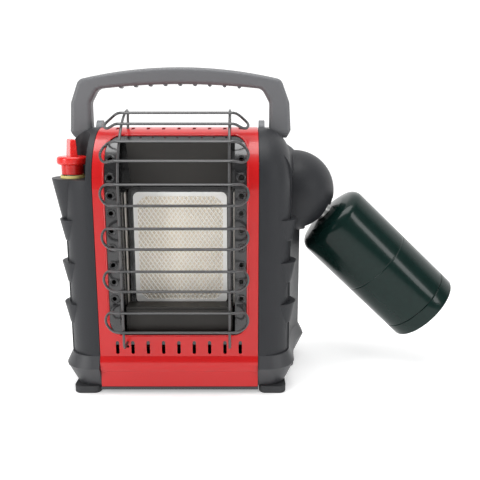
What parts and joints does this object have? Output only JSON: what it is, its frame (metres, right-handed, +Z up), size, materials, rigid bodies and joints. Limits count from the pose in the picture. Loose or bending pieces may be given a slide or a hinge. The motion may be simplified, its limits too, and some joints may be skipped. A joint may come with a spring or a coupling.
{
  "type": "portable propane heater",
  "caption": "Portable radiant gas heater with a red sheet-metal front, wire guard, dark moulded sides, folding handle, red control knob and a slanting green fuel cylinder.",
  "frame": {"origin": "on the ground under the middle of the whole heater's outline, with its guard and its hanging cylinder", "axes": "+Z up, -Y out of the heated front, +X to the right seen from the front, where the cylinder hangs"},
  "size_m": [0.5088, 0.2004, 0.381],
  "materials": {
    "dark_plastic": "fine stippled charcoal moulding",
    "grey_plastic": "satin grey moulding",
    "foot_rubber": "matt",
    "red_paint": "gloss powder coat",
    "black_enamel": "gloss enamel",
    "hot_steel": "satin heat-dulled coat",
    "bright_steel": "bright rolled sheet",
    "mesh_steel": "expanded mesh, heat-dulled",
    "spring_steel": "drawn wire",
    "zinc_steel": "zinc plated",
    "fibre_gasket": "soft white ceramic fibre",
    "cream_ceramic": "porous unglazed tile",
    "white_porcelain": "glazed insulator",
    "brass": "machined",
    "copper": "drawn copper tube",
    "cast_alloy": "die cast",
    "black_wire": "satin black coat",
    "red_plastic": "gloss",
    "label_yellow": "printed ring",
    "seal_rubber": "matt",
    "wire_rubber": "satin insulation",
    "green_paint": "gloss"
  },
  "bodies": {
    "root": {"base": "dark_plastic", "left_shell": "dark_plastic", "right_shell": "dark_plastic", "rear_cover": "dark_plastic", "handle_ears": "grey_plastic", "handle_pins": "zinc_steel", "feet": "foot_rubber", "front_panel": "red_paint", "reflector": "black_enamel", "deflector_hood": "hot_steel", "burner_frame": "black_enamel", "burner_gasket": "fibre_gasket", "ceramic_tile": "cream_ceramic", "burner_mesh": "mesh_steel", "burner_plenum": "zinc_steel", "mixer_tube": "zinc_steel", "injector": "brass", "injector_bracket": "zinc_steel", "side_reflectors": "bright_steel", "lower_shield": "hot_steel", "pilot_burner": "bright_steel", "flame_sensor": "bright_steel", "spark_electrode": "white_porcelain", "guard_loops": "black_wire", "guard_uprights": "black_wire", "gas_valve": "cast_alloy", "knob_label_ring": "label_yellow", "piezo_igniter": "grey_plastic", "regulator_bracket": "zinc_steel", "swivel_pin": "brass", "gas_elbow": "brass", "supply_pipe": "copper", "burner_pipe": "copper", "pilot_tube": "copper", "sensor_lead": "copper", "ignition_lead": "wire_rubber", "heat_shield": "bright_steel", "cover_screws": "zinc_steel", "tip_switch_case": "grey_plastic"},
    "handle": {"handle": "dark_plastic"},
    "valve_stem": {"valve_stem": "brass", "knob_spring": "spring_steel"},
    "knob": {"control_knob": "red_plastic"},
    "regulator": {"regulator_body": "cast_alloy", "regulator_cap": "cast_alloy", "inlet_seal": "seal_rubber"},
    "cylinder": {"cylinder_shell": "green_paint", "cylinder_collar": "zinc_steel", "cylinder_valve": "brass", "cylinder_foot_ring": "green_paint"},
    "tip_bob": {"tip_bob": "brass"}
  },
  "joints": [
    {"name": "handle_fold", "type": "hinge", "parent": "root", "child": "handle", "pos_m": [-0.09736, 0.00725, 0.308], "axis": [-1, 0, 0], "range_deg": [0, 90]},
    {"name": "knob_turn", "type": "hinge", "parent": "root", "child": "valve_stem", "pos_m": [-0.21936, -0.04075, 0.262], "axis": [0, 0, 1], "range_deg": [0, 180]},
    {"name": "knob_push", "type": "slide", "parent": "valve_stem", "child": "knob", "axis": [0, 0, -1], "range_m": [0, 0.003], "stiffness_N_per_m": 500, "springref_m": -0.002, "deforming": ["knob_spring"]},
    {"name": "regulator_swing", "type": "hinge", "parent": "root", "child": "regulator", "pos_m": [0.04824, 0.04225, 0.234], "axis": [0, -1, 0], "range_deg": [0, 6]},
    {"name": "cylinder_unscrew", "type": "slide", "parent": "regulator", "child": "cylinder", "axis": [0.7254, 0, -0.6884], "range_m": [0, 0.03]},
    {"name": "tip_bob_swing", "type": "hinge", "parent": "root", "child": "tip_bob", "pos_m": [-0.04736, 0.03925, 0.0495], "axis": [0, 1, 0], "range_deg": [-15, 15]}
  ]
}
